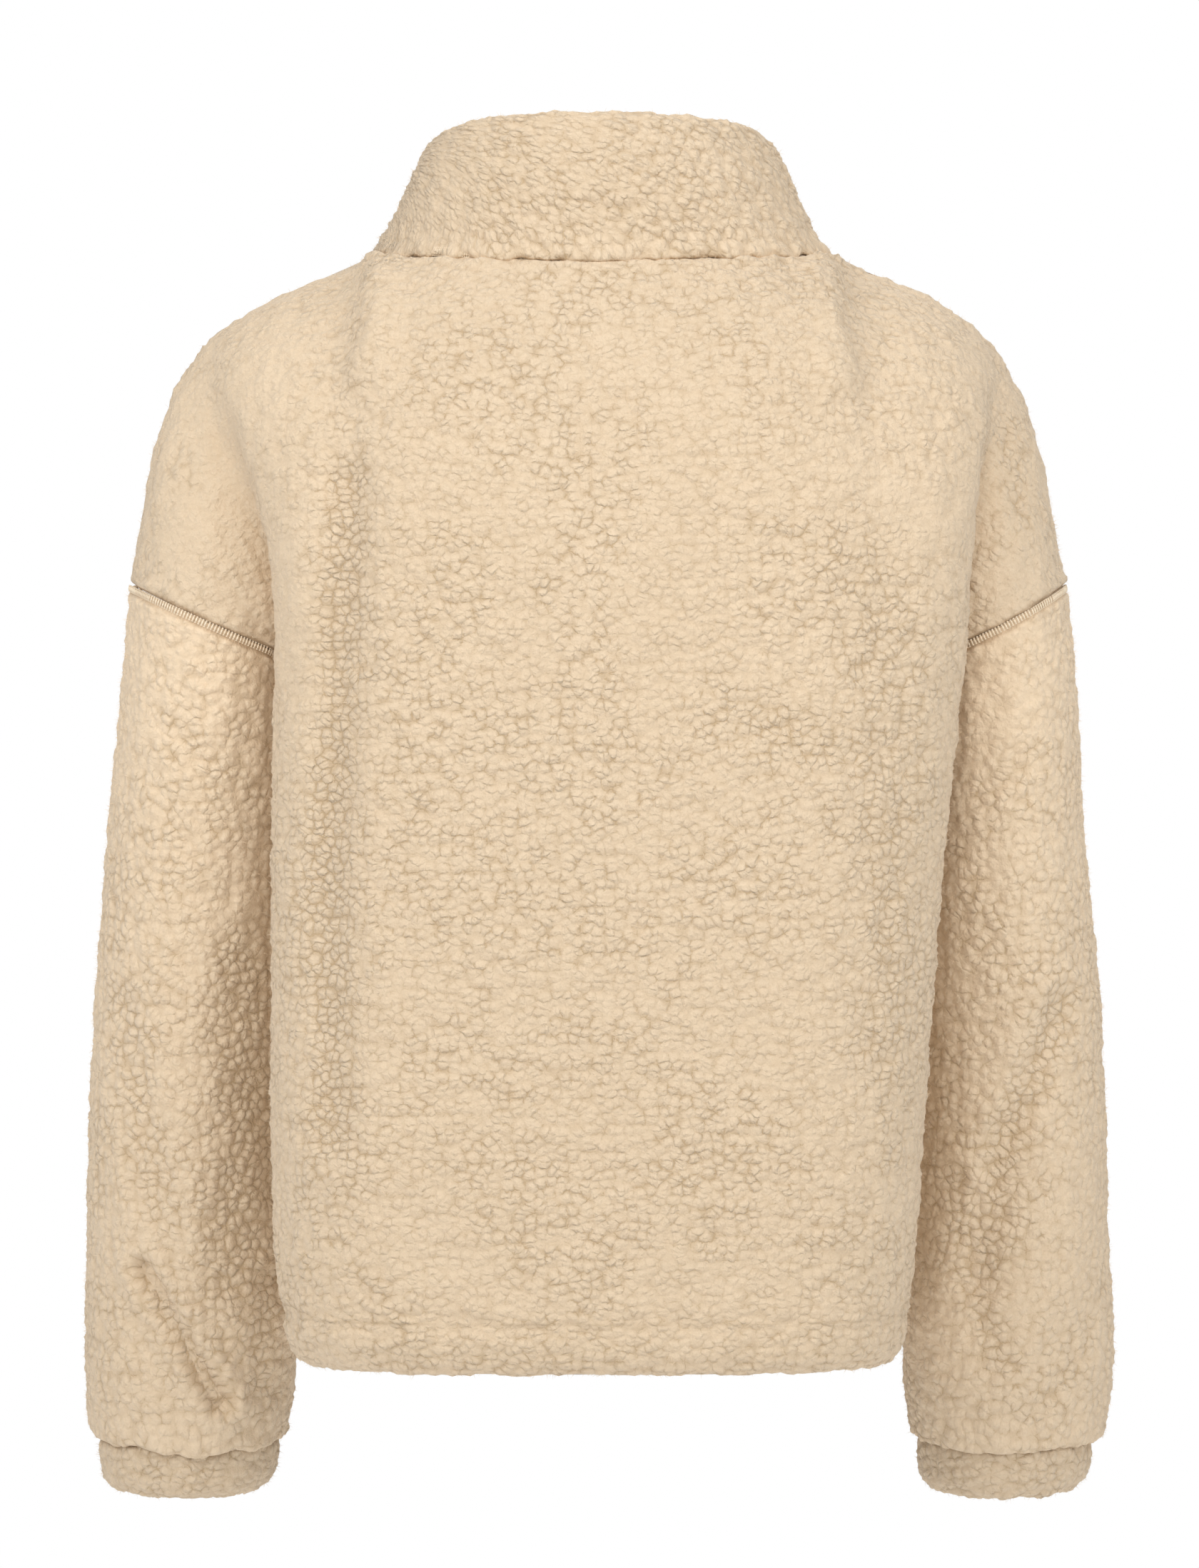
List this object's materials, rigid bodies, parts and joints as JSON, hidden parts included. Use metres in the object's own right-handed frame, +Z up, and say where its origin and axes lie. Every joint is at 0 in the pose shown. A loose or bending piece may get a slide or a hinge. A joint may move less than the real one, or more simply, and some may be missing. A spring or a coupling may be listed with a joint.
{
  "type": "fleece jacket",
  "caption": "Sherpa fleece jacket filled out with no wearer: stand collar, dropped shoulders, full sleeves on narrow turned cuffs, closed front zip with a hinged pull.",
  "frame": {"origin": "middle of the neck opening, level with the back collar seam, where the wearer's neck and shoulders hold the jacket", "axes": "+X to the wearer's right, +Y from the back to the chest, +Z up; sleeves named left hang at -X"},
  "size_m": [0.5816, 0.2643, 0.766],
  "materials": {
    "fleece_body": "cream sherpa pile in small flat curls",
    "fleece_sleeve": "cream sherpa pile in small flat curls",
    "fleece_cuff": "cream sherpa pile in small flat curls",
    "fleece_collar": "cream sherpa pile in small flat curls",
    "zip_tape": "plain woven tape",
    "zip_teeth": "moulded",
    "zip_metal": "satin"
  },
  "bodies": {
    "garment": {"back": "fleece_body", "front_left": "fleece_body", "front_right": "fleece_body", "sleeve_left": "fleece_sleeve", "sleeve_right": "fleece_sleeve", "cuff_left": "fleece_cuff", "cuff_right": "fleece_cuff", "collar": "fleece_collar", "zip_tape_left": "zip_tape", "zip_tape_right": "zip_tape", "zip_chain": "zip_teeth", "zip_box": "zip_metal", "zip_slider": "zip_metal"},
    "pull_tab": {"zip_pull": "zip_metal"}
  },
  "joints": [
    {"name": "pull_hinge", "type": "hinge", "parent": "garment", "child": "pull_tab", "pos_m": [0, 0.08758, 0.01209], "axis": [1, 0, 0], "range_deg": [0, 160]}
  ]
}
